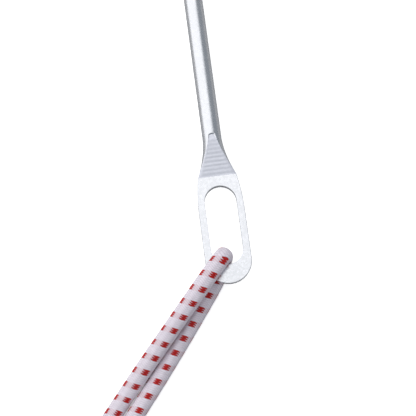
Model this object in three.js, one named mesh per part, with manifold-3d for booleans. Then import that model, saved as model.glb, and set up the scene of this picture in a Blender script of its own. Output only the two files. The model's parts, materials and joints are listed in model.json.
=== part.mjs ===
// A tent stake of round steel rod with a slotted plate forged at its head, and a closed loop of
// elastic cord through the slot. Millimetres, +Z up. The stake lies on a flat surface at z = 0
// with its head towards +X, and the origin is under the middle of the stake's length.
import * as THREE from 'three';
import { mergeVertices } from 'three/addons/utils/BufferGeometryUtils.js';
import Module from 'manifold-3d';

const wasm = await Module();
wasm.setup();

// Rod and point
const STAKE_LENGTH = 240;
const ROD_DIAMETER = 7;
const POINT_LENGTH = 22;
const TIP_DIAMETER = 1.6;
const ROD_SIDES = 32;

// Forged head, from the rod to the end of the plate
const RAMP_LENGTH = 14.9;
const DIE_STEP = 0.23; // how deep the die bites into the rod at the ramp's top
const DIE_EDGE = 0.3; // length over which it does
const SHOULDER_WIDTH = 14.3; // width at the ramp's foot
const SHOULDER_LENGTH = 14; // from the ramp's foot to the plate's full width
const SPREAD_POWER = 1.8; // how late along the ramp the blank widens
const PLATE_WIDTH = 16.8;
const PLATE_THICKNESS = 2.5;
const PLATE_FLAT = 0.985; // share of the width that is flat, inside the rounded edges
const NECK_LENGTH = 3.7; // from the ramp's foot to the slot
const SLOT_LENGTH = 29;
const SLOT_WIDTH = 11.5;
const END_RIM = 6.8; // from the slot to the plate's end
const RAMP_STEPS = 8;
const SHOULDER_STEPS = 4;
const END_STEPS = 8;
const END_ANGLE = THREE.MathUtils.degToRad(84); // the last few degrees of the end are straight
const ARC_SEGMENTS = 20;

// Elastic cord
const CORD_DIAMETER = 6.2;
const COVER_WALL = 0.6;
const CORD_SIDES = 10;
const FIT_GAP = 0.3; // between pieces that touch, and between stretches of the cord
const SEAT_BEARING = THREE.MathUtils.degToRad(-25.5); // where the cord stands on the slot's end arc
const LOOP_YAW = THREE.MathUtils.degToRad(-40.3); // which way the loop lies, from +X

// Clamp that closes the loop
const CLAMP_LENGTH = 10;
const CLAMP_WALL = 1;
const CLAMP_SPLIT = 0.8; // gap where the band's ends meet
const CLAMPED_POINTS = [2, 33]; // the points of the two strands at its middle

// The cord's centreline in the loop's own frame: x away from the slot, z above the surface.
// It runs from one cut end along the upper strand, down through the slot and back below.
const CORD_POINTS = [
  [101, -3.2, 4.3],
  [93, -2.62, 4.45],
  [87, -2.57, 4.45],
  [81, -2.57, 4.35],
  [72, -2.55, 3.55],
  [62, -2.5, 3.35],
  [50, -2.2, 5.5],
  [38, -1.75, 7.15],
  [29, -1.4, 8.7],
  [21, -1, 10.4],
  [13, -0.6, 12],
  [8.5, -0.4, 12.5],
  [3.5, -0.1, 12.6],
  [2.16, -0.05, 12.33],
  [1.03, 0, 11.58],
  [0.27, 0, 10.44],
  [0, 0, 9.3],
  [0, 0, 8.9],
  [0, 0, 6.7],
  [0, 0, 6.3],
  [0.26, 0.05, 5.2],
  [1, 0.2, 4.1],
  [2.1, 0.45, 3.38],
  [3.4, 0.75, 3.12],
  [8.5, 1.85, 3.12],
  [13, 2.3, 3.12],
  [21, 2.75, 3.12],
  [29, 3.15, 3.12],
  [38, 3.5, 3.12],
  [50, 3.85, 3.12],
  [62, 4, 3.12],
  [72, 4, 3.4],
  [81, 3.97, 4.35],
  [87, 3.97, 4.45],
  [93, 4, 4.45],
  [101, 4.6, 4.3],
];

// The cord's stretches: the first and last point of each in CORD_POINTS, and the steps along it.
const STRETCHES = [
  { name: 'tail_upper', first: 0, last: 8, steps: 9 },
  { name: 'bend_upper', first: 8, last: 10, steps: 3 },
  { name: 'run_upper', first: 10, last: 12, steps: 2 },
  { name: 'turn_upper', first: 12, last: 17, steps: 5 },
  { name: 'seat', first: 17, last: 18, steps: 1 },
  { name: 'turn_lower', first: 18, last: 23, steps: 5 },
  { name: 'run_lower', first: 23, last: 25, steps: 2 },
  { name: 'bend_lower', first: 25, last: 27, steps: 3 },
  { name: 'tail_lower', first: 27, last: 35, steps: 9 },
];

// Places along the stake, from the centre of the slot's end arc
const slotEnd = SLOT_WIDTH / 2;
const slotStart = slotEnd - SLOT_LENGTH;
const plateEnd = slotEnd + END_RIM;
const rampFoot = slotStart - NECK_LENGTH;
const rampTop = rampFoot - RAMP_LENGTH;
const tip = plateEnd - STAKE_LENGTH;
const pointStart = tip + POINT_LENGTH;
const rodRadius = ROD_DIAMETER / 2;

const steel = new THREE.MeshStandardMaterial({
  name: 'zinc_plated_steel', color: 0xe4e7ec, roughness: 0.36, metalness: 1,
});
const braid = new THREE.MeshStandardMaterial({
  name: 'braided_cover', color: 0xe6dbe4, roughness: 0.8, metalness: 0,
});
const rubber = new THREE.MeshStandardMaterial({
  name: 'rubber_core', color: 0xd9cfb4, roughness: 0.6, metalness: 0,
});
const clampSteel = new THREE.MeshStandardMaterial({
  name: 'clamp_steel', color: 0xc9ccd1, roughness: 0.42, metalness: 1,
});

const part = new THREE.Group();

function addMesh(parent, name, geometry, material) {
  const mesh = new THREE.Mesh(geometry, material.clone());
  mesh.name = name;
  parent.add(mesh);
  return mesh;
}

// --- Booleans ---------------------------------------------------------------------------------

function toSolid(geometry) {
  const bare = geometry.clone();
  bare.deleteAttribute('normal');
  bare.deleteAttribute('uv');
  const merged = mergeVertices(bare);
  return new wasm.Manifold(new wasm.Mesh({
    numProp: 3,
    vertProperties: new Float32Array(merged.attributes.position.array),
    triVerts: new Uint32Array(merged.index.array),
  }));
}

function toGeometry(solid) {
  const mesh = solid.getMesh();
  const geometry = new THREE.BufferGeometry();
  geometry.setAttribute('position', new THREE.BufferAttribute(mesh.vertProperties, 3));
  geometry.setIndex(new THREE.BufferAttribute(mesh.triVerts, 1));
  return geometry;
}

// --- Stake ------------------------------------------------------------------------------------

const sideSteps = ROD_SIDES / 2 - 1;
const roundFlat = Math.cos(Math.PI / 2 - Math.PI / ROD_SIDES);

// One point of a cross-section: a flat above and below, and a round side at each edge.
function sectionPoint({ halfWidth, halfHeight, flat }, k) {
  const sweep = Math.acos(flat);
  const onLeft = k > sideSteps;
  const step = onLeft ? k - sideSteps - 1 : k;
  const angle = (onLeft ? Math.PI : 0) - sweep + (2 * sweep * step) / sideSteps;
  return [halfWidth * Math.cos(angle), (halfHeight * Math.sin(angle)) / Math.sin(sweep)];
}

function roundStation(x, radius) {
  return { x, halfWidth: radius, halfHeight: radius * Math.sin(Math.acos(roundFlat)), flat: roundFlat };
}

// The cross-sections from the plate's end to the point.
function stakeStations() {
  const { lerp } = THREE.MathUtils;
  const stations = [];
  const halfPlate = PLATE_WIDTH / 2;
  const halfHeight = PLATE_THICKNESS / 2;
  const endCentre = plateEnd - halfPlate;
  for (let i = END_STEPS; i >= 0; i -= 1) {
    const angle = (END_ANGLE * i) / END_STEPS;
    stations.push({
      x: endCentre + (halfPlate * Math.sin(angle)) / Math.sin(END_ANGLE),
      halfWidth: halfPlate * Math.cos(angle),
      halfHeight,
      flat: PLATE_FLAT,
    });
  }
  for (let i = SHOULDER_STEPS; i >= 1; i -= 1) {
    const share = i / SHOULDER_STEPS;
    stations.push({
      x: rampFoot + SHOULDER_LENGTH * share,
      halfWidth: lerp(SHOULDER_WIDTH / 2, halfPlate, 1 - (1 - share) ** 2),
      halfHeight,
      flat: PLATE_FLAT,
    });
  }
  const topHeight = rodRadius - DIE_STEP;
  const topFlat = Math.sqrt(1 - (topHeight / rodRadius) ** 2);
  for (let i = RAMP_STEPS; i >= 0; i -= 1) {
    const share = i / RAMP_STEPS;
    stations.push({
      x: rampTop + RAMP_LENGTH * share,
      halfWidth: lerp(rodRadius, SHOULDER_WIDTH / 2, share ** SPREAD_POWER),
      halfHeight: lerp(topHeight, halfHeight, share),
      flat: lerp(topFlat, PLATE_FLAT, 1 - (1 - share) ** 2),
    });
  }
  stations.push(roundStation(rampTop - DIE_EDGE, rodRadius));
  stations.push(roundStation(pointStart, rodRadius));
  stations.push(roundStation(tip, TIP_DIAMETER / 2));
  return stations;
}

// A unit cylinder whose rings are moved to the stations' cross-sections.
function forgedBlank() {
  const stations = stakeStations();
  const rows = stations.length - 1;
  const blank = new THREE.CylinderGeometry(1, 1, 1, ROD_SIDES, rows);
  const place = blank.attributes.position;
  for (let i = 0; i < place.count; i += 1) {
    const station = stations[Math.round((0.5 - place.getY(i)) * rows)];
    const isCentre = Math.hypot(place.getX(i), place.getZ(i)) < 0.5;
    const turn = Math.atan2(place.getX(i), place.getZ(i)) / (2 * Math.PI);
    const k = (Math.round(turn * ROD_SIDES) + ROD_SIDES) % ROD_SIDES;
    const [y, z] = isCentre ? [0, 0] : sectionPoint(station, k);
    place.setXYZ(i, station.x, y, z);
  }
  return blank;
}

function slotCutter() {
  const radius = SLOT_WIDTH / 2;
  const outline = new THREE.Shape();
  outline.absarc(0, 0, radius, -Math.PI / 2, Math.PI / 2, false);
  outline.absarc(slotStart + radius, 0, radius, Math.PI / 2, (3 * Math.PI) / 2, false);
  const depth = PLATE_THICKNESS * 2;
  const cutter = new THREE.ExtrudeGeometry(outline, {
    depth, bevelEnabled: false, curveSegments: ARC_SEGMENTS,
  });
  return cutter.translate(0, 0, -depth / 2);
}

// The plate is held up at the eye by the strand that passes under it.
const eyeHeight = CORD_DIAMETER + FIT_GAP + PLATE_THICKNESS / 2;
const rodBottom = rodRadius * Math.cos(Math.PI / ROD_SIDES);
const pitch = Math.asin((eyeHeight - rodBottom) / -pointStart);
const stakeGeometry = toGeometry(toSolid(forgedBlank()).subtract(toSolid(slotCutter())));
const stake = addMesh(part, 'stake', stakeGeometry, steel);
stake.rotation.y = -pitch;
stake.updateMatrixWorld();
stakeGeometry.computeBoundingBox();
const box = new THREE.Box3().setFromObject(stake, true);
const eyeX = -(box.min.x + box.max.x) / 2;
stake.position.set(eyeX, 0, -box.min.z);

// --- Elastic cord -----------------------------------------------------------------------------

const coverRadius = CORD_DIAMETER / 2;
const seatReach = SLOT_WIDTH / 2 - coverRadius - FIT_GAP;
const loop = new THREE.Group();
loop.position.set(eyeX + seatReach * Math.cos(SEAT_BEARING), seatReach * Math.sin(SEAT_BEARING), 0);
loop.rotation.z = LOOP_YAW;
part.add(loop);

const centreline = new THREE.CatmullRomCurve3(
  CORD_POINTS.map((p) => new THREE.Vector3(...p)), false, 'centripetal',
);
const DIVISIONS_PER_POINT = 40;
centreline.arcLengthDivisions = (CORD_POINTS.length - 1) * DIVISIONS_PER_POINT;
const lengths = centreline.getLengths();
const cordLength = lengths[lengths.length - 1];

// A stretch of the centreline between two distances along it.
class Stretch extends THREE.Curve {
  constructor(start, end) {
    super();
    this.start = start;
    this.end = end;
  }

  getPoint(t, target = new THREE.Vector3()) {
    return centreline.getPointAt(THREE.MathUtils.lerp(this.start, this.end, t) / cordLength, target);
  }
}

function ringPoints(radius) {
  return Array.from({ length: CORD_SIDES }, (_, i) => {
    const angle = (2 * Math.PI * i) / CORD_SIDES;
    return new THREE.Vector2(radius * Math.cos(angle), radius * Math.sin(angle));
  });
}

const boreRadius = coverRadius - COVER_WALL;
const coverSection = new THREE.Shape(ringPoints(coverRadius));
coverSection.holes.push(new THREE.Path(ringPoints(boreRadius).reverse()));
const coreSection = new THREE.Shape(ringPoints(boreRadius - FIT_GAP));

for (const { name, first, last, steps } of STRETCHES) {
  const isStart = first === 0;
  const isEnd = last === CORD_POINTS.length - 1;
  const start = lengths[first * DIVISIONS_PER_POINT] + (isStart ? 0 : FIT_GAP / 2);
  const end = lengths[last * DIVISIONS_PER_POINT] - (isEnd ? 0 : FIT_GAP / 2);
  const settings = { steps, bevelEnabled: false, extrudePath: new Stretch(start, end) };
  addMesh(loop, `cover_${name}`, new THREE.ExtrudeGeometry(coverSection, settings), braid);
  addMesh(loop, `core_${name}`, new THREE.ExtrudeGeometry(coreSection, settings), rubber);
}

// --- Clamp ------------------------------------------------------------------------------------

const [upperStrand, lowerStrand] = CLAMPED_POINTS.map((i) => centreline.points[i]);

// An oval outline round both strands, long way along y.
function ovalPath(PathClass, radius) {
  const reach = upperStrand.distanceTo(lowerStrand) / 2;
  const path = new PathClass();
  path.absarc(0, reach, radius, 0, Math.PI, false);
  path.absarc(0, -reach, radius, Math.PI, 2 * Math.PI, false);
  return path;
}

function clampBand() {
  const inner = coverRadius + FIT_GAP;
  const outline = ovalPath(THREE.Shape, inner + CLAMP_WALL);
  outline.holes.push(ovalPath(THREE.Path, inner));
  const band = new THREE.ExtrudeGeometry(outline, {
    depth: CLAMP_LENGTH, bevelEnabled: false, curveSegments: ARC_SEGMENTS / 2,
  });
  band.translate(0, 0, -CLAMP_LENGTH / 2).rotateY(Math.PI / 2);
  const split = new THREE.BoxGeometry(CLAMP_LENGTH * 2, CLAMP_SPLIT, CLAMP_WALL * 2);
  split.translate(0, 0, inner + CLAMP_WALL / 2);
  return toGeometry(toSolid(band).subtract(toSolid(split)));
}

const clamp = addMesh(loop, 'clamp', clampBand(), clampSteel);
clamp.position.lerpVectors(upperStrand, lowerStrand, 0.5);

export default part;
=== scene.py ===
# A zinc-plated tent stake with a slotted forged head and a closed loop of elastic cord.
# Laid out as an add-on: one operator for each piece, one for the stage, and a panel that lists them.
import json
import math

import bmesh
import bpy
import numpy as np
from mathutils import Matrix, Vector
from mathutils.noise import noise


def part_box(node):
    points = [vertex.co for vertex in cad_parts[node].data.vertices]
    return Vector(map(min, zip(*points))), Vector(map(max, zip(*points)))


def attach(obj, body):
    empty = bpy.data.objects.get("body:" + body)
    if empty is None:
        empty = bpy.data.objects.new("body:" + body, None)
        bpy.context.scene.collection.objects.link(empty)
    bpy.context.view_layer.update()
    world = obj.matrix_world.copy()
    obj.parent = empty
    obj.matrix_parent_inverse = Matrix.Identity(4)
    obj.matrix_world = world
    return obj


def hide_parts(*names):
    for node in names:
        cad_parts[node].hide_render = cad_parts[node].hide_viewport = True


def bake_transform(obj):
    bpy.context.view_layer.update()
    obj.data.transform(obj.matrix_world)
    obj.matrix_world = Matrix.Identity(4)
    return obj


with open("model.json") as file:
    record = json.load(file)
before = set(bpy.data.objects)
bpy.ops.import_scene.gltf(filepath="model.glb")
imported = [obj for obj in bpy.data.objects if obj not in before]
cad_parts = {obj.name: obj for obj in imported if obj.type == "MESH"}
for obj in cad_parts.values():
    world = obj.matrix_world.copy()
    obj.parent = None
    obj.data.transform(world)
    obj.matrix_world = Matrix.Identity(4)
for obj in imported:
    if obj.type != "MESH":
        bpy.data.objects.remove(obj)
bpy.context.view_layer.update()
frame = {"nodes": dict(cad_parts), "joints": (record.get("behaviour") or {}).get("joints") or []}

bl_info = {
    "name": "Tent stake with elastic loop",
    "version": (1, 0, 0),
    "blender": (4, 5, 0),
    "location": "3D View > Sidebar > Tent Stake",
    "description": "Builds a forged tent stake and its braided elastic loop",
    "category": "Add Mesh",
}

MM = 0.001

# --- Places from the frame --------------------------------------------------------------------

joints = {joint["name"]: joint for joint in frame["joints"]}
stake_low, stake_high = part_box("stake")
UP = Vector((0, 0, 1))
STAKE_AHEAD = -Vector(joints["loop_slide"]["axis"]).normalized()
LOOP_ACROSS = Vector(joints["loop_fold"]["axis"]).normalized()
LOOP_AHEAD = LOOP_ACROSS.cross(UP)


def frame_matrix(origin, ahead, across):
    """Turns millimetres along ahead, across and up from origin into the frame's metres."""
    turn = Matrix((ahead, across, ahead.cross(across))).transposed().to_4x4()
    return Matrix.Translation(origin) @ turn @ Matrix.Scale(MM, 4)


def linear(code):
    """An sRGB hex colour as linear red, green and blue."""
    shares = [(code >> shift & 255) / 255 for shift in (16, 8, 0)]
    return [c / 12.92 if c <= 0.04045 else ((c + 0.055) / 1.055) ** 2.4 for c in shares]


# --- Settings ---------------------------------------------------------------------------------


def length_setting(name, millimetres, description):
    """A length that is shown in the scene's unit."""
    return bpy.props.FloatProperty(
        name=name, description=description, default=millimetres * MM, min=0,
        subtype="DISTANCE", unit="LENGTH", precision=5,
    )


def colour_setting(name, code, description):
    """A colour picker that starts at an sRGB hex value."""
    return bpy.props.FloatVectorProperty(
        name=name, description=description, default=linear(code), size=3, min=0, max=1,
        subtype="COLOR",
    )


class StakeSettings(bpy.types.PropertyGroup):
    rod_diameter: length_setting("Rod diameter", 7, "Thickness of the round rod")
    plate_width: length_setting(
        "Plate width", (stake_high.y - stake_low.y) / MM, "Width of the forged plate"
    )
    plate_thickness: length_setting("Plate thickness", 2.5, "Thickness of the forged plate")
    slot_length: length_setting("Slot length", 29, "Length of the slot with its round ends")
    slot_width: length_setting("Slot width", 11.5, "Width of the slot")
    edge_radius: length_setting("Edge radius", 0.12, "Rounding of the forged and cut edges")
    mark_spacing: length_setting("Die mark spacing", 1.5, "Distance between marks on the ramp")
    plating: colour_setting("Zinc plating", 0xEFF1F6, "Colour of the bright plating")
    forged: colour_setting("Forged face", 0xE6E8F2, "Colour of the ramp where the die pressed it")


class CordSettings(bpy.types.PropertyGroup):
    diameter: length_setting("Cord diameter", 6.2, "Outer diameter of the braided cover")
    wall: length_setting("Cover wall", 0.6, "Thickness of the braided cover")
    pitch: length_setting("Braid pitch", 5.9, "Length of cord in one turn of a yarn")
    relief: length_setting("Yarn relief", 0.11, "How far a yarn stands above its neighbours")
    carriers: bpy.props.IntProperty(
        name="Yarns each way", description="Yarns that run round the cord in each direction",
        default=8, min=4, max=16,
    )
    flecked: bpy.props.IntProperty(
        name="Fleck yarns", description="Neighbouring yarns of the fleck colour",
        default=3, min=0, max=8,
    )
    pale: colour_setting("Cover yarn", 0xDFD8E2, "Colour of the plain yarns")
    fleck: colour_setting("Fleck yarn", 0xB01512, "Colour of the fleck yarns")
    strands: bpy.props.IntProperty(
        name="Rings of rubber", description="Rings of rubber strands round the middle one",
        default=2, min=1, max=3,
    )
    rubber: colour_setting("Rubber", 0xD8C9A6, "Colour of the rubber strands")


class ClampSettings(bpy.types.PropertyGroup):
    wall: length_setting("Band thickness", 1, "Thickness of the clamp's steel band")
    length: length_setting("Band length", 10, "Length of the clamp along the cord")
    split: length_setting("Band gap", 0.8, "Gap where the band's ends meet")
    steel: colour_setting("Band steel", 0xC4C7CD, "Colour of the clamp")


class StageSettings(bpy.types.PropertyGroup):
    floor: colour_setting("Floor", 0xFAFAFA, "Colour of the plain floor")
    field: length_setting("Field", 150.2, "Width that the camera sees at the stake's head")
    camera_tilt: bpy.props.FloatProperty(
        name="Camera tilt", description="How far the camera leans from straight above",
        default=math.radians(12), subtype="ANGLE", unit="ROTATION",
    )


# --- Helpers ----------------------------------------------------------------------------------


def add(tree, kind, *links, **settings):
    """Adds a node, gives it its settings, and links or sets its inputs, given as (socket, value)."""
    node = tree.nodes.new(kind)
    for name, value in settings.items():
        setattr(node, name, value)
    for socket, value in links:
        if isinstance(value, bpy.types.NodeSocket):
            tree.links.new(value, node.inputs[socket])
        else:
            node.inputs[socket].default_value = value
    return node


def new_material(name):
    """An empty material and its shader, linked to the output."""
    material = bpy.data.materials.new(name)
    material.use_nodes = True
    tree = material.node_tree
    tree.nodes.clear()
    shader = add(tree, "ShaderNodeBsdfPrincipled")
    add(tree, "ShaderNodeOutputMaterial", ("Surface", shader.outputs["BSDF"]))
    return material, tree, shader


def colour(rgb):
    """Red, green and blue with full opacity."""
    return (*rgb, 1)


def finish_piece(name, bm, *materials):
    """Writes a bmesh to a new object at the origin and gives it its materials."""
    mesh = bpy.data.meshes.new(name)
    bm.to_mesh(mesh)
    bm.free()
    for material in materials:
        mesh.materials.append(material)
    mesh.shade_smooth()
    piece = bpy.data.objects.new(name, mesh)
    bpy.context.scene.collection.objects.link(piece)
    return piece


# --- Stage ------------------------------------------------------------------------------------

# The stake's length runs down the view, leaning this much to its right.
LEAN = math.asin(0.129)
VIEW_RIGHT = Vector((math.sin(LEAN), math.cos(LEAN), 0))
VIEW_DOWN = Vector((math.cos(LEAN), -math.sin(LEAN), 0))
# The camera aims at this place: back from the plate's end and aside of it, in millimetres, and up
# by a share of the plate's height.
TARGET_BEFORE_PLATE_END = 28.4
TARGET_ASIDE = -4.8
TARGET_HEIGHT = 0.73
LENS = 100
SENSOR = 36
CLIP_START = 0.01
FLOOR_SIZE = 3
FLOOR_BOUNCE = 0.42  # share of the floor's colour that the pieces are lit by
FLOOR_GLOW = 0.6
PAPER_GRAIN = 10 / 3  # millimetres
# The sky is bright on one side, given along the view's right and down, and cool on the other.
SKY_RIGHT = -0.86
SKY_DOWN = -0.5
SKY_EDGE_START = -0.2
SKY_EDGE_END = 0.02
SKY_DIM = 0.31
SKY_BRIGHT = 1.18
SKY_COOL = (0.86, 0.93, 1)
SKY_PLAIN = (1, 1, 1)
# Soft boxes: how far each stands to the right of the head, down the view and up, then its width in
# metres and its power in watts.
SOFT_BOXES = {
    "key_box": (-0.42, -0.22, 0.5, 0.5, 1.1),
    "fill_box": (0.5, 0.1, 0.3, 0.6, 0.8),
}
BOX_HEIGHT = 0.7  # share of its width


def make_camera(stage):
    """A long lens that leans a little from straight above the stake's head."""
    camera = bpy.data.cameras.new("camera")
    camera.lens = LENS
    camera.sensor_width = SENSOR
    camera.clip_start = CLIP_START
    back = math.cos(stage.camera_tilt) * UP + math.sin(stage.camera_tilt) * VIEW_DOWN
    target = Vector((
        stake_high.x - TARGET_BEFORE_PLATE_END * MM, TARGET_ASIDE * MM, stake_high.z * TARGET_HEIGHT,
    ))
    holder = bpy.data.objects.new("camera", camera)
    turn = Matrix((VIEW_RIGHT, back.cross(VIEW_RIGHT), back)).transposed().to_4x4()
    holder.matrix_world = Matrix.Translation(target + back * stage.field * LENS / SENSOR) @ turn
    bpy.context.scene.collection.objects.link(holder)
    bpy.context.scene.camera = holder


def make_floor(stage):
    """Matt white paper. The view sees it with a little light of its own, which keeps its shadows
    pale, and the pieces are lit by its plain grey-white side."""
    material, tree, shader = new_material("matt_white_paper")
    coordinates = add(tree, "ShaderNodeTexCoord").outputs["Object"]
    grain = add(tree, "ShaderNodeTexNoise", ("Vector", coordinates),
                ("Scale", 1 / (PAPER_GRAIN * MM)))
    seen = add(tree, "ShaderNodeLightPath").outputs["Is Camera Ray"]
    bounce = colour([c * FLOOR_BOUNCE for c in stage.floor])
    base = add(tree, "ShaderNodeMix", (0, seen), (6, bounce), (7, colour(stage.floor)),
               data_type="RGBA")
    glow = add(tree, "ShaderNodeMath", (0, seen), (1, FLOOR_GLOW), operation="MULTIPLY")
    rough = add(tree, "ShaderNodeMapRange", (0, grain.outputs["Fac"]), (3, 0.85), (4, 0.95))
    tree.links.new(base.outputs[2], shader.inputs["Base Color"])
    tree.links.new(glow.outputs[0], shader.inputs["Emission Strength"])
    tree.links.new(rough.outputs[0], shader.inputs["Roughness"])
    shader.inputs["Specular IOR Level"].default_value = 0.1
    shader.inputs["Emission Color"].default_value = (1, 1, 1, 1)
    bm = bmesh.new()
    bmesh.ops.create_grid(bm, x_segments=1, y_segments=1, size=FLOOR_SIZE / 2)
    finish_piece("floor", bm, material)


def make_sky():
    """Soft light all round, bright on the side that the stake's bright edge faces."""
    world = bpy.data.worlds.new("studio")
    world.use_nodes = True
    bpy.context.scene.world = world
    tree = world.node_tree
    tree.nodes.clear()
    direction = add(tree, "ShaderNodeTexCoord").outputs["Generated"]
    bright_side = (SKY_RIGHT * VIEW_RIGHT + SKY_DOWN * VIEW_DOWN).normalized()
    facing = add(tree, "ShaderNodeVectorMath", (0, direction), (1, bright_side),
                 operation="DOT_PRODUCT")
    share = add(tree, "ShaderNodeMapRange", (0, facing.outputs["Value"]), (1, SKY_EDGE_START),
                (2, SKY_EDGE_END), interpolation_type="SMOOTHSTEP")
    tone = add(tree, "ShaderNodeMapRange", (0, share.outputs[0]), (3, SKY_DIM), (4, SKY_BRIGHT))
    tint = add(tree, "ShaderNodeMix", (0, share.outputs[0]), (6, colour(SKY_COOL)),
               (7, colour(SKY_PLAIN)), data_type="RGBA")
    light = add(tree, "ShaderNodeBackground", ("Color", tint.outputs[2]),
                ("Strength", tone.outputs[0]))
    add(tree, "ShaderNodeOutputWorld", ("Surface", light.outputs[0]))


def make_soft_box(name, aside, down, up, width, power):
    """A soft box that shines on the stake's head from aside, down the view and up."""
    light = bpy.data.lights.new(name, "AREA")
    light.shape = "RECTANGLE"
    light.size = width
    light.size_y = width * BOX_HEIGHT
    light.energy = power
    holder = bpy.data.objects.new(name, light)
    head = Vector((stake_high.x, 0, 0))
    place = head + aside * VIEW_RIGHT + down * VIEW_DOWN + up * UP
    aim = (place - head).to_track_quat("Z", "Y")
    holder.matrix_world = Matrix.Translation(place) @ aim.to_matrix().to_4x4()
    holder.visible_glossy = False
    bpy.context.scene.collection.objects.link(holder)


class STAKE_OT_stage(bpy.types.Operator):
    """Make the floor, the lights and the camera"""

    bl_idname = "stake.stage"
    bl_label = "Stage"

    def execute(self, context):
        stage = context.scene.stake_stage
        make_camera(stage)
        make_floor(stage)
        make_sky()
        for name, place in SOFT_BOXES.items():
            make_soft_box(name, *place)
        context.scene.view_settings.view_transform = "Standard"
        return {"FINISHED"}


# --- Cord route -------------------------------------------------------------------------------

RESTING = 0.00319  # height of the lower strand where it lies on the floor
# The centreline in the loop's own frame, in metres: x away from the slot, z above the floor. It
# runs from one cut end along the upper strand, down through the slot and back below.
CORD_POINTS = [
    (0.101, -0.0032, 0.0043),
    (0.093, -0.00262, 0.00445),
    (0.087, -0.00257, 0.00445),
    (0.081, -0.00257, 0.00435),
    (0.072, -0.00255, 0.00355),
    (0.062, -0.0025, 0.00335),
    (0.05, -0.0022, 0.0055),
    (0.038, -0.00175, 0.00715),
    (0.029, -0.0014, 0.0087),
    (0.021, -0.001, 0.01055),
    (0.013, -0.0006, 0.01225),
    (0.0085, -0.0004, 0.01265),
    (0.0035, -0.0001, 0.0126),
    (0.00216, -0.00005, 0.01233),
    (0.00103, 0, 0.01158),
    (0.00027, 0, 0.01044),
    (0, 0, 0.0093),
    (0, 0, 0.0089),
    (0, 0, 0.0067),
    (0, 0, 0.0063),
    (0.00026, 0.00005, 0.0052),
    (0.001, 0.0002, 0.0041),
    (0.0021, 0.00045, 0.00338),
    (0.0034, 0.00075, RESTING),
    (0.0085, 0.00185, RESTING),
    (0.013, 0.0023, RESTING),
    (0.021, 0.00275, RESTING),
    (0.029, 0.00315, RESTING),
    (0.038, 0.0035, RESTING),
    (0.05, 0.00385, RESTING),
    (0.062, 0.004, RESTING),
    (0.072, 0.004, 0.0034),
    (0.081, 0.00397, 0.00435),
    (0.087, 0.00397, 0.00445),
    (0.093, 0.004, 0.00445),
    (0.101, 0.0046, 0.0043),
]
SEAT_POINTS = (17, 18)  # between these the cord stands upright in the slot
COVER_NODES = [name for name in frame["nodes"] if name.startswith("cover_")]
CORE_NODES = [name for name in frame["nodes"] if name.startswith("core_")]


def loop_matrix():
    """From the loop's own frame to the scene's, both in metres."""
    swing = Vector(joints["loop_swing"]["pos_m"])
    swing.z = 0
    return frame_matrix(swing, LOOP_AHEAD, LOOP_ACROSS) @ Matrix.Scale(1 / MM, 4)


def smooth_curve(points, steps):
    """A centripetal Catmull-Rom curve with that many steps for each point."""
    place = loop_matrix()
    points = np.array([list(place @ Vector(p)) for p in points])
    points = np.vstack([2 * points[0] - points[1], points, 2 * points[-1] - points[-2]])
    share = np.linspace(0, 1, steps, endpoint=False)[:, None]
    runs = []
    for a, b, c, d in zip(points, points[1:], points[2:], points[3:]):
        first, middle, last = (np.linalg.norm(q - p) ** 0.5 for p, q in ((a, b), (b, c), (c, d)))
        leave = (b - a) / first - (c - a) / (first + middle) + (c - b) / middle
        reach = (c - b) / middle - (d - b) / (middle + last) + (d - c) / last
        leave, reach = leave * middle, reach * middle
        runs.append(
            b + leave * share + (3 * (c - b) - 2 * leave - reach) * share**2
            + (2 * (b - c) + leave + reach) * share**3
        )
    return np.vstack([*runs, points[-2:-1]])


class CordRoute:
    """The cord's centreline, with a direction along it and one out of its bend at any distance."""

    STEPS = 60

    def __init__(self):
        self.points = smooth_curve(CORD_POINTS, self.STEPS)
        gaps = np.linalg.norm(np.diff(self.points, axis=0), axis=1)
        self.distance = np.concatenate([[0], np.cumsum(gaps)])
        self.length = self.distance[-1]
        self.seat = sum(self.distance[i * self.STEPS] for i in SEAT_POINTS) / 2
        self.along = np.gradient(self.points, self.distance, axis=0)
        self.along /= np.linalg.norm(self.along, axis=1)[:, None]
        self.out = np.empty_like(self.points)
        out = np.array(UP)
        for i, along in enumerate(self.along):
            out = out - (out @ along) * along
            out /= np.linalg.norm(out)
            self.out[i] = out
        self.side = np.cross(self.along, self.out)

    def at(self, rows, distance):
        """Those rows of vectors at distances along the cord."""
        return np.stack([np.interp(distance, self.distance, rows[:, i]) for i in range(3)], 1)


# Where it turns through the slot the cord is pressed flat against the slot's end: how far from the
# seat it starts, how thick and how wide it then is, as shares, and how far it moves inwards.
PRESS_REACH = 0.0085
PRESS_FLAT = 0.85
PRESS_WIDE = 1.04
PRESS_SHIFT = 0.00045
WELD = 0.001 * MM  # vertices as near as this are one


def eased(share):
    """A smooth step from 0 to 1."""
    share = np.clip(share, 0, 1)
    return share * share * (3 - 2 * share)


def pressed(route, distance):
    """How far the slot presses the cord at distances along it, from 0 to 1."""
    return eased(1 - np.abs(distance - route.seat) / PRESS_REACH)


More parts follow.
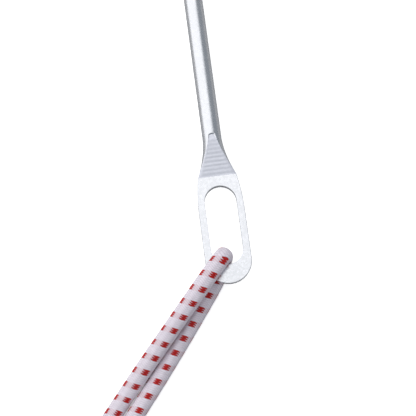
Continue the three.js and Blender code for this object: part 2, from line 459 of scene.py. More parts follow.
def wrap_grid(bm, route, distance, radius, sides, lift=None, offset=(0, 0)):
    """Wraps a grid round the route, with one row for each distance and its radius, and returns its
    vertices and their rows. lift(turn, row) is added to the radius, where turn goes from 0 to 1
    round the tube, and offset moves the whole tube off the centreline."""
    rows = len(distance) - 1
    made = bmesh.ops.create_grid(bm, x_segments=sides, y_segments=rows, size=0.5, calc_uvs=True)
    spot = np.array([(v.co.x, v.co.y) for v in made["verts"]]) + 0.5
    row = np.rint(spot[:, 1] * rows).astype(int)
    turn = np.rint(spot[:, 0] * sides) % sides / sides
    centre, out, side = (route.at(v, distance)[row] for v in (route.points, route.out, route.side))
    press = pressed(route, distance)[row]
    reach = radius[row] + (lift(turn, row) if lift else 0)
    towards_out = (reach * np.cos(2 * math.pi * turn) + offset[0]) * (1 - (1 - PRESS_FLAT) * press)
    towards_side = (reach * np.sin(2 * math.pi * turn) + offset[1]) * (1 + (PRESS_WIDE - 1) * press)
    towards_out -= PRESS_SHIFT * press
    place = centre + towards_out[:, None] * out + towards_side[:, None] * side
    for vertex, point in zip(made["verts"], place):
        vertex.co = point
    return made["verts"], row


def close_tube(bm):
    """Joins the seam of a wrapped grid, caps open ends and turns its faces outwards."""
    bmesh.ops.remove_doubles(bm, verts=bm.verts, dist=WELD)
    bmesh.ops.holes_fill(bm, edges=[e for e in bm.edges if e.is_boundary], sides=0)
    bmesh.ops.recalc_face_normals(bm, faces=bm.faces)


def declare_loop_piece(piece, nodes):
    """The piece takes the place of its CAD stretches, which are hidden, and its transform is baked
    into its mesh.
    """
    place = loop_matrix()
    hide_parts(*nodes)
    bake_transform(piece)


# --- Cord cover -------------------------------------------------------------------------------

COVER_SIDES = 48
ROWS_PER_PITCH = 31
BORE_ROWS = 120
END_ROUNDING = 0.00015  # how much of a cut end is rounded, in metres
# The rounded rim of a cut end: how far from the end and how far in from the outside, as shares.
RIM = [(0.3, 0.12), (0, 0.35), (0, 0.65), (0.3, 0.88)]
BRAID_HAND = -1
OVER = 2  # how many yarns a yarn passes over, and then under
LOWER_TWIST = -0.105  # turns by which the cord is twisted where it runs back below the plate
TWIST_LENGTH = 0.012
MELT_LENGTH = 0.0014
MELT_TAPER = 0.0004
YARN_MIDDLE = 0.4  # the height of the braid that lies at the cord's own radius
YARN_LEAST = 0.45  # height of a yarn where it dives under, and how much it gains on top
YARN_SWELL = 0.55


def braid_height(turn, pitches, carriers):
    """Height of the braid's surface, from 0 to 1, with two yarns over two."""
    right = carriers * (turn + pitches)
    left = carriers * (turn - pitches)
    right_on_top = (np.floor(right) + np.floor(left)) % (2 * OVER) < OVER
    across = np.where(right_on_top, right % 1, left % 1)
    along_right = (left + np.floor(right)) % (2 * OVER) / OVER
    along_left = (right + np.floor(left) - OVER) % (2 * OVER) / OVER
    along = np.where(right_on_top, along_right, along_left)
    dome = np.sqrt(np.clip(4 * across * (1 - across), 0, 1))
    return dome * (YARN_LEAST + YARN_SWELL * np.sin(math.pi * np.clip(along, 0, 1)))


def cover_mesh(cord, route):
    """The cover as one closed tube: out along the cord, in over the cut end, and back through it."""
    radius = cord.diameter / 2
    length = route.length
    outer_rows = round(length / cord.pitch * ROWS_PER_PITCH)
    outer = np.linspace(END_ROUNDING, length - END_ROUNDING, outer_rows + 1)
    inner = np.linspace(length - END_ROUNDING, END_ROUNDING, BORE_ROWS + 1)
    rim_gap, rim_depth = np.array(RIM).T
    distance = np.concatenate([
        outer, length - rim_gap * END_ROUNDING, inner, rim_gap[::-1] * END_ROUNDING, outer[:1],
    ])
    rim_radius = radius - rim_depth * cord.wall
    bore = np.full(len(inner), radius - cord.wall)
    reach = np.concatenate([
        np.full(len(outer), radius), rim_radius, bore, rim_radius[::-1], [radius],
    ])
    melt = np.clip(1 - np.minimum(distance, length - distance) / MELT_LENGTH, 0, 1)
    reach -= MELT_TAPER * melt**2
    braided = np.zeros(len(distance))
    braided[: len(outer)] = 1
    braided[-1] = 1
    pitches = BRAID_HAND * (distance - route.seat) / cord.pitch
    twist = LOWER_TWIST * eased((distance - route.seat) / TWIST_LENGTH)

    def lift(turn, row):
        height = braid_height(turn + twist[row], pitches[row], cord.carriers) - YARN_MIDDLE
        return cord.relief * height * braided[row] * (1 - melt[row])

    bm = bmesh.new()
    uv = bm.loops.layers.uv.new("UVMap")
    melted = bm.verts.layers.float.new("melt")
    vertices, rows = wrap_grid(bm, route, distance, reach, COVER_SIDES, lift)
    for vertex, row in zip(vertices, rows):
        vertex[melted] = melt[row]
    last_row = len(distance) - 1
    for face in bm.faces:
        for loop in face.loops:
            row = round(loop[uv].uv.y * last_row)
            loop[uv].uv = (loop[uv].uv.x + twist[row], pitches[row])
    close_tube(bm)
    return bm


FIBRE_TURN = 1.6  # how often the fibre streaks change round the cord and in one pitch along it
FIBRE_PITCH = 17.0
# Where a yarn's end dives under: how far along, how slanted, and how pointed, in yarn widths.
END_REACH = 2.15
END_SLANT = 0.5
END_TAPER = 0.5
START_TIP = 0.3  # how far a yarn's pointed start reaches over the last yarn, in yarn widths
FILAMENTS = 4
PAINTED_SHADE_HEIGHT = 0.75  # share of a yarn's height over which the painted shade in the valleys between yarns deepens
PALE_PAINTED_SHADE = (0.62, 0.57, 0.62)  # shares of the yarn's colour that are left in the valleys, where shade is painted
# share of the fleck yarns' colour that is left where shade is painted into their valleys
FLECK_PAINTED_SHADE = 0.35
FLECK_TINT = 0.16
YARN_SHADE = 0.81  # the yarns' own shade, and what the filaments and the uneven fibre add
FILAMENT_SHADE = 0.07
DRIFT_SHADE = 0.32
FILAMENT_DEPTH = 0.03  # millimetres
MELTED = 0xA88F78
YARN_ROUGHNESS = 0.74
MELTED_ROUGHNESS = 0.35


def braided_material(cord):
    """Braided polyester: matt twisted yarns with a soft sheen, in a two-over-two braid. The fleck
    yarns show as rows of small dashes, and tint the pale yarns that cross them."""
    material, tree, shader = new_material("braided_polyester")

    def math_node(operation, *values):
        return add(tree, "ShaderNodeMath", *enumerate(values), operation=operation).outputs[0]

    def mix(share, a, b):
        return add(tree, "ShaderNodeMix", (0, share), (6, a), (7, b), data_type="RGBA").outputs[2]

    place = add(tree, "ShaderNodeSeparateXYZ", (0, add(tree, "ShaderNodeTexCoord").outputs["UV"]))
    turn, pitches = place.outputs["X"], place.outputs["Y"]
    right = math_node("MULTIPLY", math_node("ADD", turn, pitches), float(cord.carriers))
    left = math_node("MULTIPLY", math_node("SUBTRACT", turn, pitches), float(cord.carriers))
    right_row, left_row = math_node("FLOOR", right), math_node("FLOOR", left)
    place_in_braid = math_node("FLOORED_MODULO", math_node("ADD", right_row, left_row), 2.0 * OVER)
    right_on_top = math_node("LESS_THAN", place_in_braid, float(OVER))

    def distance_off_middle(across_yarn):
        doubled = math_node("MULTIPLY", across_yarn, 2.0)
        return math_node("ABSOLUTE", math_node("SUBTRACT", doubled, 1.0))

    def pick(of_left, of_right):
        return add(tree, "ShaderNodeMix", (0, right_on_top), (2, of_left), (3, of_right)).outputs[0]

    across = pick(math_node("FRACT", left), math_node("FRACT", right))
    of_right = math_node("FLOORED_MODULO", math_node("ADD", left, right_row), 2.0 * OVER)
    from_left = math_node("SUBTRACT", math_node("ADD", right, left_row), float(OVER))
    of_left = math_node("FLOORED_MODULO", from_left, 2.0 * OVER)
    along = math_node("MULTIPLY", pick(of_left, of_right), 1 / OVER)
    swell = math_node("SINE", math_node("MULTIPLY", along, math.pi))
    off_middle = distance_off_middle(across)

    # Where a yarn lies on top, both its ends narrow to a point where they dive under the next yarn.
    in_right = math_node("FRACT", right)
    off_right = distance_off_middle(in_right)
    slanted = math_node("ADD", of_right, math_node("MULTIPLY", in_right, END_SLANT))
    end = math_node("SUBTRACT", END_REACH, math_node("MULTIPLY", off_right, END_TAPER))
    not_ended = math_node("LESS_THAN", slanted, end)
    to_edge = math_node("SUBTRACT", 1.0, off_right)
    tip = math_node("SUBTRACT", 2.0 * OVER, math_node("MULTIPLY", to_edge, START_TIP))
    shows_right = pick(math_node("GREATER_THAN", of_right, tip), not_ended)
    yarn = math_node("FLOORED_MODULO", right_row, float(cord.carriers))
    is_fleck = math_node("LESS_THAN", yarn, float(cord.flecked))
    shows_fleck = math_node("MULTIPLY", is_fleck, shows_right)

    # Each yarn is a bundle of fine filaments, drawn a few to a yarn, so that they show.
    filament = math_node("SINE", math_node("MULTIPLY", across, 2 * math.pi * FILAMENTS))
    angle = math_node("MULTIPLY", turn, 2 * math.pi)
    rolled = add(tree, "ShaderNodeCombineXYZ",
                 (0, math_node("MULTIPLY", math_node("COSINE", angle), FIBRE_TURN)),
                 (1, math_node("MULTIPLY", math_node("SINE", angle), FIBRE_TURN)),
                 (2, math_node("MULTIPLY", pitches, FIBRE_PITCH)))
    drift = add(tree, "ShaderNodeTexNoise", (0, rolled.outputs[0]), ("Scale", 1.0),
                ("Detail", 3.0))
    # Painted shade: each yarn's colour darkens towards its edges and where it dives under the next
    # yarn, in the valleys between yarns.
    off_squared = math_node("MULTIPLY", off_middle, off_middle)
    dome = math_node("SQRT", math_node("SUBTRACT", 1.0, off_squared))
    valley = math_node("MULTIPLY", dome, math_node("ADD", math_node("MULTIPLY", swell, 0.5), 0.5))
    depth = add(tree, "ShaderNodeMapRange", (0, valley), (2, PAINTED_SHADE_HEIGHT)).outputs[0]
    pale_painted_shade = [c * f for c, f in zip(cord.pale, PALE_PAINTED_SHADE)]
    fleck_painted_shade = [c * FLECK_PAINTED_SHADE for c in cord.fleck]
    pale = mix(depth, colour(pale_painted_shade), colour(cord.pale))
    tinted = mix(math_node("MULTIPLY", is_fleck, FLECK_TINT), pale, colour(cord.fleck))
    red = mix(depth, colour(fleck_painted_shade), colour(cord.fleck))
    yarns = mix(shows_fleck, tinted, red)
    streak = math_node("ADD", YARN_SHADE, math_node("MULTIPLY", filament, FILAMENT_SHADE))
    uneven = math_node("ADD", streak, math_node("MULTIPLY", drift.outputs["Fac"], DRIFT_SHADE))
    shade = add(tree, "ShaderNodeVectorMath", (0, yarns), ("Scale", uneven), operation="SCALE")
    # The last millimetre of each cut end is melted together and a little brown.
    melt = add(tree, "ShaderNodeAttribute", attribute_name="melt").outputs["Fac"]
    burnt = colour(linear(MELTED))
    tree.links.new(mix(melt, shade.outputs[0], burnt), shader.inputs["Base Color"])
    rough = add(tree, "ShaderNodeMapRange", (0, melt), (3, YARN_ROUGHNESS), (4, MELTED_ROUGHNESS))
    tree.links.new(rough.outputs[0], shader.inputs["Roughness"])
    bump = add(tree, "ShaderNodeBump", ("Height", filament), ("Strength", 0.35),
               ("Distance", FILAMENT_DEPTH * MM))
    tree.links.new(bump.outputs[0], shader.inputs["Normal"])
    shader.inputs["Sheen Weight"].default_value = 0.2
    shader.inputs["Sheen Roughness"].default_value = 0.4
    shader.inputs["Specular IOR Level"].default_value = 0.35
    return material


class STAKE_OT_cord_cover(bpy.types.Operator):
    """Make the cord's braided cover"""

    bl_idname = "stake.cord_cover"
    bl_label = "Cord cover"

    def execute(self, context):
        cord = context.scene.stake_cord
        route = CordRoute()
        cover = finish_piece("cord_cover", cover_mesh(cord, route), braided_material(cord))
        declare_loop_piece(cover, COVER_NODES)
        return {"FINISHED"}


# --- Cord core --------------------------------------------------------------------------------

STRAND_SIDES = 8
STRAND_ROWS = 150
CORE_RECESS = 0.0003  # the rubber draws back a little inside the cut cover
CORE_FIT = 0.0001  # the gap between the bundle and the cover
STRAND_FIT = 0.98  # share of its room that a strand fills
TALC_PATCH = 0.7  # millimetres
TALC_START = 0.35  # share of the noise at which talc starts to show, and where it is thick
TALC_FULL = 0.7
TALC_PALE = 1.25
BARE_ROUGHNESS = 0.45
TALC_ROUGHNESS = 0.75
SCATTER_DEPTH = 0.5  # millimetres


def rubber_material(cord):
    """Natural latex strands: waxy and a little dusty with talc, so soft and pale in their gloss."""
    material, tree, shader = new_material("latex_rubber")
    place = add(tree, "ShaderNodeTexCoord").outputs["Object"]
    dust = add(tree, "ShaderNodeTexNoise", ("Vector", place), ("Scale", 1 / (TALC_PATCH * MM)),
               ("Detail", 4.0))
    share = add(tree, "ShaderNodeMapRange", (0, dust.outputs["Fac"]), (1, TALC_START),
                (2, TALC_FULL))
    powdered = colour([min(1, c * TALC_PALE) for c in cord.rubber])
    base = add(tree, "ShaderNodeMix", (0, share.outputs[0]), (6, colour(cord.rubber)), (7, powdered),
               data_type="RGBA")
    tree.links.new(base.outputs[2], shader.inputs["Base Color"])
    rough = add(tree, "ShaderNodeMapRange", (0, share.outputs[0]), (3, BARE_ROUGHNESS),
                (4, TALC_ROUGHNESS))
    tree.links.new(rough.outputs[0], shader.inputs["Roughness"])
    shader.inputs["IOR"].default_value = 1.52
    shader.inputs["Subsurface Weight"].default_value = 0.1
    shader.inputs["Subsurface Scale"].default_value = SCATTER_DEPTH * MM
    return material


def core_mesh(cord, route):
    """Rings of thin strands round a middle one, as thick together as the cover's bore."""
    bundle = cord.diameter / 2 - cord.wall - CORE_FIT
    radius = bundle / (2 * cord.strands + 1)
    distance = np.linspace(CORE_RECESS, route.length - CORE_RECESS, STRAND_ROWS)
    reach = np.full(STRAND_ROWS, radius * STRAND_FIT)
    bm = bmesh.new()
    for ring in range(cord.strands + 1):
        count = 6 * ring or 1
        for i in range(count):
            angle = 2 * math.pi * i / count
            offset = (2 * radius * ring * math.cos(angle), 2 * radius * ring * math.sin(angle))
            wrap_grid(bm, route, distance, reach, STRAND_SIDES, offset=offset)
    close_tube(bm)
    return bm


class STAKE_OT_cord_core(bpy.types.Operator):
    """Make the bundle of rubber strands inside the cover"""

    bl_idname = "stake.cord_core"
    bl_label = "Cord core"

    def execute(self, context):
        cord = context.scene.stake_cord
        core = finish_piece("cord_core", core_mesh(cord, CordRoute()), rubber_material(cord))
        declare_loop_piece(core, CORE_NODES)
        return {"FINISHED"}


# --- Clamp ------------------------------------------------------------------------------------

CLAMPED_POINTS = (2, 33)  # where the two strands' centrelines pass through it
FIT_GAP = 0.0003  # between the cord and the steel that lies against it
BAND_SEGMENTS = 48
BAND_ROWS = 20
CRIMP_DEPTH = 0.00022
CRIMP_REACH = 0.0011
CRIMP_PLACES = (-0.0021, 0.0021)  # from the clamp's middle
STRAIGHT_CUTS = 12
BAND_EDGE = 0.00018
BAND_CORNER = math.radians(60)
BAND_SHARP = math.radians(40)


def clamp_mesh(clamp, cord):
    """A flat band bent round both strands, with its ends meeting on top, and pressed in two places.
    It is made lengthways along z, with the strands side by side along x."""
    upper, lower = (Vector(CORD_POINTS[i]) for i in CLAMPED_POINTS)
    reach = (upper - lower).length / 2
    inner = cord.diameter / 2 + FIT_GAP
    bm = bmesh.new()
    turned = Matrix.Rotation(math.pi / BAND_SEGMENTS, 4, "Z")
    bmesh.ops.create_circle(bm, segments=BAND_SEGMENTS, radius=inner, matrix=turned)
    for vertex in bm.verts:
        vertex.co.x += math.copysign(reach, vertex.co.x)
    crossing = [e for e in bm.edges if e.verts[0].co.x * e.verts[1].co.x < 0]
    bmesh.ops.subdivide_edges(bm, edges=crossing, cuts=STRAIGHT_CUTS)
    gap = next(e for e in bm.edges if e.verts[0].co.x * e.verts[1].co.x < 0 < e.verts[0].co.y)
    for vertex in gap.verts:
        vertex.co.x = math.copysign(clamp.split / 2, vertex.co.x)
    bm.edges.remove(gap)
    bmesh.ops.translate(bm, verts=bm.verts, vec=(0, 0, -clamp.length / 2))
    rim = bm.edges[:]
    for _ in range(BAND_ROWS):
        made = bmesh.ops.extrude_edge_only(bm, edges=rim)["geom"]
        moved = [g for g in made if isinstance(g, bmesh.types.BMVert)]
        rim = [g for g in made if isinstance(g, bmesh.types.BMEdge) and set(g.verts) <= set(moved)]
        bmesh.ops.translate(bm, verts=moved, vec=(0, 0, clamp.length / BAND_ROWS))
    bmesh.ops.recalc_face_normals(bm, faces=bm.faces)
    inside = max(bm.faces, key=lambda f: f.calc_center_median().x)
    if inside.normal.x < 0:
        bmesh.ops.reverse_faces(bm, faces=bm.faces)
    bmesh.ops.solidify(bm, geom=bm.faces[:], thickness=-clamp.wall)
    bmesh.ops.recalc_face_normals(bm, faces=bm.faces)
    corners = [e for e in bm.edges if e.calc_face_angle(0) > BAND_CORNER]
    bmesh.ops.bevel(bm, geom=corners, offset=BAND_EDGE, offset_type="OFFSET", segments=2,
                    profile=0.5, affect="EDGES", material=-1, clamp_overlap=True)
    for vertex in bm.verts:
        dent = sum(math.exp(-(((vertex.co.z - z) / CRIMP_REACH) ** 2)) for z in CRIMP_PLACES)
        level = max(0, 1 - (vertex.co.x / (reach + inner)) ** 4)
        vertex.co.y -= math.copysign(CRIMP_DEPTH * dent * level, vertex.co.y)
    place = (upper + lower) / 2
    along_loop = Matrix(((0, 0, 1, place.x), (1, 0, 0, place.y), (0, 1, 0, place.z), (0, 0, 0, 1)))
    bm.transform(loop_matrix() @ along_loop)
    return bm


# Each steel's range of roughness, the size of its spangle, the size of a drawn line along each
# axis and the depth of the lines. Sizes are in millimetres.
ROLLED_STEEL = {"roughness": (0.34, 0.5), "speck": 0.5, "lines": (6, 0.3, 0.3), "depth": 0.012}
BRIGHT_PLATING = {"roughness": (0.2, 0.32), "speck": 0.7, "lines": (25, 0.25, 0.25), "depth": 0.01}
FORGED_PLATING = {"roughness": (0.38, 0.5), "speck": 0.5, "lines": (0.6, 2.2, 2.2), "depth": 0.05}
SPANGLE_RELIEF = 0.15  # height of the spangle, as a share of the drawn lines' depth
CLOUD_SIZE = 5  # millimetres
CLOUD_LEAST = 0.3  # spangle and cloud together, where the steel is glossiest and where it is dullest
CLOUD_MOST = 1.5
DULL_SHARE = 0.93


def steel_material(name, base, roughness, speck, lines, depth):
    """Bare or zinc-plated steel. Fine cloudy spangle varies its gloss and shade, and drawn lines
    stretch its highlights."""
    material, tree, shader = new_material(name)
    place = add(tree, "ShaderNodeTexCoord").outputs["Object"]
    spangle = add(tree, "ShaderNodeTexVoronoi", ("Vector", place), ("Scale", 1 / (speck * MM)))
    grains = add(tree, "ShaderNodeSeparateColor", ("Color", spangle.outputs["Color"])).outputs[0]
    cloud = add(tree, "ShaderNodeTexNoise", ("Vector", place), ("Scale", 1 / (CLOUD_SIZE * MM)),
                ("Detail", 3.0))
    stretch = add(tree, "ShaderNodeMapping", ("Vector", place),
                  ("Scale", tuple(1 / (size * MM) for size in lines)))
    drawn = add(tree, "ShaderNodeTexNoise", ("Vector", stretch.outputs[0]), ("Scale", 1.0),
                ("Detail", 4.0), ("Roughness", 0.6))
    uneven = add(tree, "ShaderNodeMath", (0, grains), (1, cloud.outputs["Fac"]), operation="ADD")
    low, high = roughness
    gloss = add(tree, "ShaderNodeMapRange", (0, uneven.outputs[0]), (1, CLOUD_LEAST),
                (2, CLOUD_MOST), (3, low), (4, high))
    tree.links.new(gloss.outputs[0], shader.inputs["Roughness"])
    dull = colour([c * DULL_SHARE for c in base])
    tone = add(tree, "ShaderNodeMix", (0, uneven.outputs[0]), (6, colour(base)), (7, dull),
               data_type="RGBA")
    tree.links.new(tone.outputs[2], shader.inputs["Base Color"])
    raised = add(tree, "ShaderNodeMath", (0, grains), (1, SPANGLE_RELIEF), operation="MULTIPLY")
    relief = add(tree, "ShaderNodeMath", (0, drawn.outputs["Fac"]), (1, raised.outputs[0]),
                 operation="ADD")
    bump = add(tree, "ShaderNodeBump", ("Height", relief.outputs[0]), ("Strength", 0.5),
               ("Distance", depth * MM))
    tree.links.new(bump.outputs[0], shader.inputs["Normal"])
    shader.inputs["Metallic"].default_value = 1
    return material


class STAKE_OT_clamp(bpy.types.Operator):
    """Make the clamp that closes the loop"""

    bl_idname = "stake.clamp"
    bl_label = "Clamp"

    def execute(self, context):
        clamp = context.scene.stake_clamp
        steel = steel_material("rolled_steel_band", clamp.steel, **ROLLED_STEEL)
        band = finish_piece("clamp_band", clamp_mesh(clamp, context.scene.stake_cord), steel)
        band.data.set_sharp_from_angle(angle=BAND_SHARP)
        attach(band, "tail")
        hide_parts("clamp")
        return {"FINISHED"}


# --- Stake ------------------------------------------------------------------------------------

# Sizes of the forging, in millimetres. Along the stake they count from the centre of the slot's
# end arc.
END_RIM = 6.8
NECK_LENGTH = 3.7
RAMP_LENGTH = 14.9
SHOULDER_WIDTH = 14.3
SHOULDER_LENGTH = 14
SPREAD_POWER = 1.8  # how late along the ramp the rod spreads to the plate's width
PLATE_FLAT = 0.985  # share of the plate's width that is flat
# The die bites into the rod at the ramp's top, with a bowed edge and a groove behind it.
DIE_STEP = 0.23
DIE_EDGE = 0.45
DIE_BOW = 0.5
BOW_LENGTH = 2
DIE_GROOVE = 0.2
GROOVE_LENGTH = 0.5
# It leaves shallow marks across the ramp, some deeper than others.
MARK_DEPTH = 0.045
MARK_LEVEL = 0.8
MARK_UNEVEN = 0.4
MARK_NOISE_STRIDE = 3.7
MARK_NOISE_PLACE = (0.4, 0.8)
POINT_LENGTH = 22
TIP_DIAMETER = 1.6
# The rod is a little thinner here and there.
ROD_WAVE = 0.03
WAVE_LENGTH = 4
WAVE_SPREAD = 9
WAVE_NOISE_PLACE = (3.1, 7.7)
SIDE_STEPS = 10
FLAT_STEPS = 10
END_STEPS = 24
SHOULDER_STEPS = 10
RAMP_STEPS = 96
TIP_STEPS = 6
SLOT_SEGMENTS = 64
END_ANGLE = math.radians(88)
LEVEL_FACE = 0.999  # a face whose normal is as upright as this is part of the plate's flat
FORGED_FACE = 0.97  # and one as upright as this, on the ramp, was pressed by the die
CREASE = math.radians(14)
NEAR = 0.01  # millimetres
STAKE_SHARP = math.radians(34)


class Section:
    """One cross-section of the forged rod: a flat above and below, and a round side at each edge.
    A crown of 1 rounds the flats into a full circle, and bow draws their middle towards the rod."""

    def __init__(self, x, half_width, half_height, flat, crown=0, bow=0, mark=0):
        self.x = x
        self.half_width = half_width
        self.half_height = half_height
        self.flat = flat
        self.crown = crown
        self.bow = bow
        self.mark = mark

    def side_point(self, share):
        """From the bottom of the right side, at 0, to its top, at 1."""
        sweep = math.acos(self.flat)
        angle = sweep * (2 * share - 1)
        height = self.half_height * math.sin(angle) / math.sin(sweep)
        return self.half_width * math.cos(angle), height

    def points(self):
        """The whole outline, anticlockwise, from the bottom of the right side."""
        right = [(self.x, *self.side_point(i / SIDE_STEPS)) for i in range(SIDE_STEPS + 1)]
        top = []
        for i in range(1, FLAT_STEPS):
            share = 1 - 2 * i / FLAT_STEPS
            y = share * self.flat * self.half_width
            round_height = math.sqrt(self.half_width**2 - y * y)
            height = self.half_height + self.crown * (round_height - self.half_height)
            top.append((self.x - self.bow * (1 - share * share), y, height - self.mark))
        half = right + top
        return half + [(x, -y, -z) for x, y, z in half]


def between(a, b, share):
    """The value that lies that share of the way from a to b."""
    return a + (b - a) * share


def forging_sections(size):
    """The cross-sections from the plate's end to the point, and where the ramp starts and ends."""
    rod, half_plate = size.rod_diameter / 2 / MM, size.plate_width / 2 / MM
    half_height = size.plate_thickness / 2 / MM
    slot_end = size.slot_width / 2 / MM
    plate_end = slot_end + END_RIM
    ramp_foot = slot_end - size.slot_length / MM - NECK_LENGTH
    ramp_top = ramp_foot - RAMP_LENGTH
    tip = plate_end - (stake_high.x - stake_low.x) / STAKE_AHEAD.x / MM
    point_start = tip + POINT_LENGTH
    sections = []
    for i in range(END_STEPS, -1, -1):
        angle = END_ANGLE * i / END_STEPS
        x = plate_end - half_plate + half_plate * math.sin(angle) / math.sin(END_ANGLE)
        sections.append(Section(x, half_plate * math.cos(angle), half_height, PLATE_FLAT))
    for i in range(SHOULDER_STEPS, 0, -1):
        share = i / SHOULDER_STEPS
        half_width = between(SHOULDER_WIDTH / 2, half_plate, 1 - (1 - share) ** 2)
        x = ramp_foot + SHOULDER_LENGTH * share
        sections.append(Section(x, half_width, half_height, PLATE_FLAT))
    top_height = rod - DIE_STEP
    top_flat = math.sqrt(1 - (top_height / rod) ** 2)
    for i in range(RAMP_STEPS, -1, -1):
        share = i / RAMP_STEPS
        x = between(ramp_top, ramp_foot, share)
        along = (x - ramp_top) / (size.mark_spacing / MM)
        spot = Vector((round(along) * MARK_NOISE_STRIDE, *MARK_NOISE_PLACE))
        strength = MARK_LEVEL + MARK_UNEVEN * noise(spot)
        mark = MARK_DEPTH * strength * math.sin(math.pi * along) ** 2
        mark += DIE_GROOVE * math.exp(-(x - ramp_top) / GROOVE_LENGTH)
        half_width = between(rod, SHOULDER_WIDTH / 2, share**SPREAD_POWER)
        height = between(top_height, half_height, share)
        flat = between(top_flat, PLATE_FLAT, 1 - (1 - share) ** 2)
        bow = DIE_BOW * max(0, 1 - (x - ramp_top) / BOW_LENGTH)
        sections.append(Section(x, half_width, height, flat, bow=bow, mark=mark))

    def round_section(x, radius, bow=0):
        half_height = radius * math.sin(math.acos(top_flat))
        return Section(x, radius, half_height, top_flat, crown=1, bow=bow)

    sections.append(round_section(ramp_top - DIE_EDGE, rod, DIE_BOW))
    straight_end = ramp_top - DIE_EDGE - BOW_LENGTH
    waves = round((straight_end - point_start) / WAVE_LENGTH)
    for i in range(waves + 1):
        x = between(straight_end, point_start, i / waves)
        wave = min(0, noise(Vector((x / WAVE_SPREAD, *WAVE_NOISE_PLACE))))
        radius = rod * (1 + ROD_WAVE / rod * wave)
        sections.append(round_section(x, radius))
    ball = TIP_DIAMETER / 2
    for i in range(TIP_STEPS):
        angle = math.pi / 2 * i / TIP_STEPS
        x = tip + ball * (1 - math.sin(angle))
        sections.append(round_section(x, ball * math.cos(angle)))
    return sections, ramp_top, ramp_foot


def forged_blank(sections):
    """Rings of vertices extruded from one section to the next, closed at both ends."""
    bm = bmesh.new()
    spot = bm.verts.layers.int.new("spot")
    outline = sections[0].points()
    ring = bmesh.ops.create_circle(bm, cap_ends=True, segments=len(outline), radius=1)["verts"]
    for i, vertex in enumerate(ring):
        vertex[spot] = i
        vertex.co = outline[i]
    edges = bm.edges[:]
    for section in sections[1:]:
        outline = section.points()
        made = bmesh.ops.extrude_edge_only(bm, edges=edges)["geom"]
        ring = {g for g in made if isinstance(g, bmesh.types.BMVert)}
        edges = [g for g in made if isinstance(g, bmesh.types.BMEdge) and set(g.verts) <= ring]
        for vertex in ring:
            vertex.co = outline[vertex[spot]]
    bmesh.ops.contextual_create(bm, geom=edges)
    bmesh.ops.recalc_face_normals(bm, faces=bm.faces)
    return bm


def slot_cutter(size):
    """A bar with round ends, as long and wide as the slot and thicker than the plate."""
    radius = size.slot_width / 2 / MM
    straight = (size.slot_length - size.slot_width) / MM
    depth = size.plate_thickness / MM
    bm = bmesh.new()
    turned = Matrix.Rotation(math.pi / SLOT_SEGMENTS, 4, "Z")
    bmesh.ops.create_circle(bm, cap_ends=True, segments=SLOT_SEGMENTS, radius=radius, matrix=turned)
    bmesh.ops.translate(bm, verts=[v for v in bm.verts if v.co.x < 0], vec=(-straight, 0, 0))
    bmesh.ops.translate(bm, verts=bm.verts, vec=(0, 0, -depth))
    made = bmesh.ops.extrude_face_region(bm, geom=bm.faces[:])["geom"]
    lifted = [g for g in made if isinstance(g, bmesh.types.BMVert)]
    bmesh.ops.translate(bm, verts=lifted, vec=(0, 0, 2 * depth))
    bmesh.ops.recalc_face_normals(bm, faces=bm.faces)
    return bm


def cut_away(body, cutter):
    """The body with the cutter's shape taken out of it, as a bmesh. Both are used up."""
    blank = finish_piece("blank", body)
    tool = finish_piece("tool", cutter)
    cut = blank.modifiers.new("cut", "BOOLEAN")
    cut.operation = "DIFFERENCE"
    cut.solver = "EXACT"
    cut.object = tool
    depsgraph = bpy.context.evaluated_depsgraph_get()
    bm = bmesh.new()
    bm.from_object(blank, depsgraph)
    for used in (blank, tool):
        mesh = used.data
        bpy.data.objects.remove(used)
        bpy.data.meshes.remove(mesh)
    return bm


def stake_mesh(size):
    """The forged blank with its slot, its edges rounded, and its ramp given the second material."""
    sections, ramp_top, ramp_foot = forging_sections(size)
    blank = forged_blank(sections)
    for side in (1, -1):
        flats = [
            f for f in blank.faces
            if side * f.normal.z > LEVEL_FACE and f.calc_center_median().x > ramp_foot
        ]
        bmesh.ops.dissolve_faces(blank, faces=flats, use_verts=False)
    bm = cut_away(blank, slot_cutter(size))
    creases = [
        e for e in bm.edges
        if e.calc_face_angle(0) > CREASE and min(v.co.x for v in e.verts) > ramp_top - NEAR
    ]
    bmesh.ops.bevel(bm, geom=creases, offset=size.edge_radius / MM, offset_type="OFFSET", segments=3,
                    profile=0.5, affect="EDGES", material=-1, clamp_overlap=False)
    bmesh.ops.recalc_face_normals(bm, faces=bm.faces)
    for face in bm.faces:
        on_ramp = ramp_top - DIE_EDGE < face.calc_center_median().x < ramp_foot
        face.material_index = int(on_ramp and abs(face.normal.z) > FORGED_FACE)
    half_thickness = size.plate_thickness / 2
    plate_end = MM * sections[0].x * STAKE_AHEAD.x
    eye_x = stake_high.x - plate_end - half_thickness * STAKE_AHEAD.z
    eye_height = bpy.context.scene.stake_cord.diameter + FIT_GAP + half_thickness
    bm.transform(frame_matrix(Vector((eye_x, 0, eye_height)), STAKE_AHEAD, Vector((0, 1, 0))))
    return bm


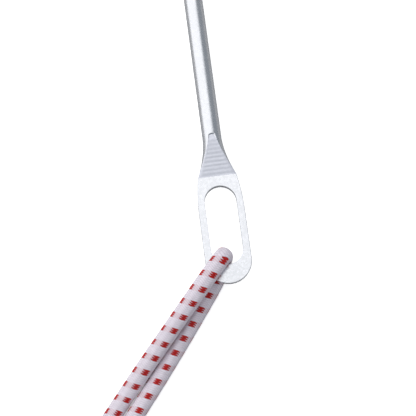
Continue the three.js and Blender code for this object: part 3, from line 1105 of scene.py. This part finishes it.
class STAKE_OT_stake(bpy.types.Operator):
    """Make the forged steel stake with its slot"""

    bl_idname = "stake.stake"
    bl_label = "Stake"

    def execute(self, context):
        size = context.scene.stake_size
        plated = steel_material("bright_zinc_plating", size.plating, **BRIGHT_PLATING)
        forged = steel_material("forged_zinc_plating", size.forged, **FORGED_PLATING)
        stake = finish_piece("stake_forging", stake_mesh(size), plated, forged)
        stake.data.set_sharp_from_angle(angle=STAKE_SHARP)
        shading = stake.modifiers.new("even_shading", "WEIGHTED_NORMAL")
        shading.keep_sharp = True
        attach(stake, "stake")
        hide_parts("stake")
        return {"FINISHED"}


# --- Panel and registration -------------------------------------------------------------------

OPERATORS = (
    STAKE_OT_stage,
    STAKE_OT_cord_core,
    STAKE_OT_clamp,
    STAKE_OT_cord_cover,
    STAKE_OT_stake,
)
SETTINGS = {
    "stake_size": StakeSettings,
    "stake_cord": CordSettings,
    "stake_clamp": ClampSettings,
    "stake_stage": StageSettings,
}


class STAKE_PT_panel(bpy.types.Panel):
    """Lists the pieces and their sizes and colours"""

    bl_idname = "STAKE_PT_panel"
    bl_label = "Tent Stake"
    bl_space_type = "VIEW_3D"
    bl_region_type = "UI"
    bl_category = "Tent Stake"

    def draw(self, context):
        for operator in OPERATORS:
            self.layout.operator(operator.bl_idname)
        for name, group in SETTINGS.items():
            box = self.layout.box()
            for setting in group.__annotations__:
                box.prop(getattr(context.scene, name), setting)


def register():
    """Registers the settings, the operators and the panel."""
    for group in (*SETTINGS.values(), *OPERATORS, STAKE_PT_panel):
        bpy.utils.register_class(group)
    for name, group in SETTINGS.items():
        setattr(bpy.types.Scene, name, bpy.props.PointerProperty(type=group))


def unregister():
    """Takes away what register added."""
    for name in SETTINGS:
        delattr(bpy.types.Scene, name)
    for group in (STAKE_PT_panel, *OPERATORS, *SETTINGS.values()):
        bpy.utils.unregister_class(group)


def main():
    """Builds the stage and every piece."""
    register()
    bpy.ops.stake.stage()
    bpy.ops.stake.cord_core()
    bpy.ops.stake.clamp()
    bpy.ops.stake.cord_cover()
    bpy.ops.stake.stake()


if __name__ == "__main__":
    main()
